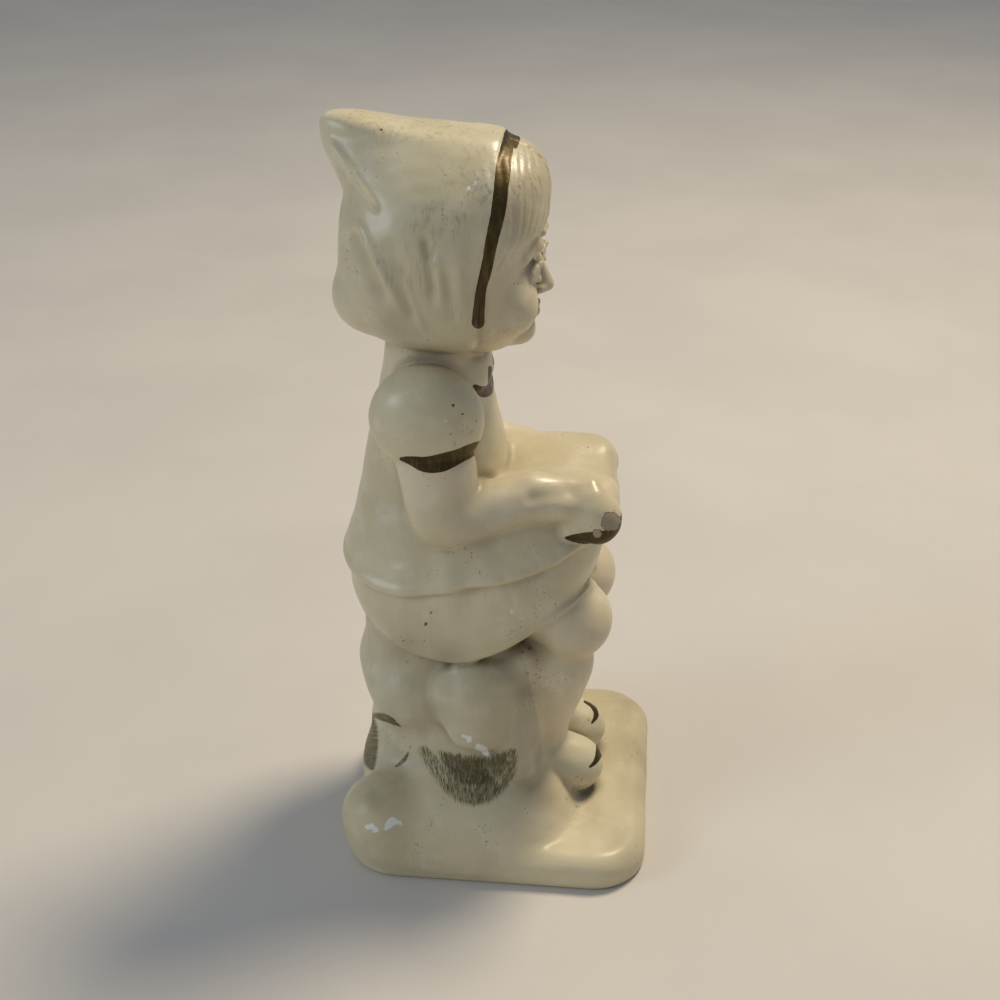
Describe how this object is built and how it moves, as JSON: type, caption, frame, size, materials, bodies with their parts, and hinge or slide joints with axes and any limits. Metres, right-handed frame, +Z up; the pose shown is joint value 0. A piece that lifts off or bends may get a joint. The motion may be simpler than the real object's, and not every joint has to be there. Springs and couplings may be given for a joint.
{
  "type": "seated child figurine",
  "caption": "Painted plaster ornament: a kerchiefed child sits on a tree stump reading an open book, all cast on a rounded square plinth.",
  "frame": {"origin": "centre of the plinth's flat underside", "axes": "+Z up, the child looks along -Y, its own right side is -X"},
  "size_m": [0.08, 0.0817, 0.188],
  "materials": {
    "ground_paint": "satin",
    "bark_paint": "satin",
    "cloth_paint": "satin",
    "skin_paint": "satin",
    "hair_paint": "satin",
    "book_paint": "satin"
  },
  "bodies": {
    "root": {"plinth": "ground_paint", "mound": "ground_paint", "root_knob": "ground_paint", "stump": "bark_paint", "burl_rear": "bark_paint", "burl_side": "bark_paint", "skirt": "cloth_paint", "tunic": "cloth_paint", "bodice": "cloth_paint", "collar": "cloth_paint", "neck": "skin_paint", "head": "skin_paint", "hair": "hair_paint", "kerchief": "cloth_paint", "kerchief_bun": "cloth_paint", "sleeve_right": "cloth_paint", "sleeve_left": "cloth_paint", "arm_right": "skin_paint", "arm_left": "skin_paint", "forearm_right": "skin_paint", "forearm_left": "skin_paint", "hand_right": "skin_paint", "hand_left": "skin_paint", "book_cover": "book_paint", "page_right": "book_paint", "page_left": "book_paint", "knee_right": "skin_paint", "knee_left": "skin_paint", "shin_right": "skin_paint", "shin_left": "skin_paint", "shoe_right": "cloth_paint", "shoe_left": "cloth_paint"}
  },
  "joints": []
}
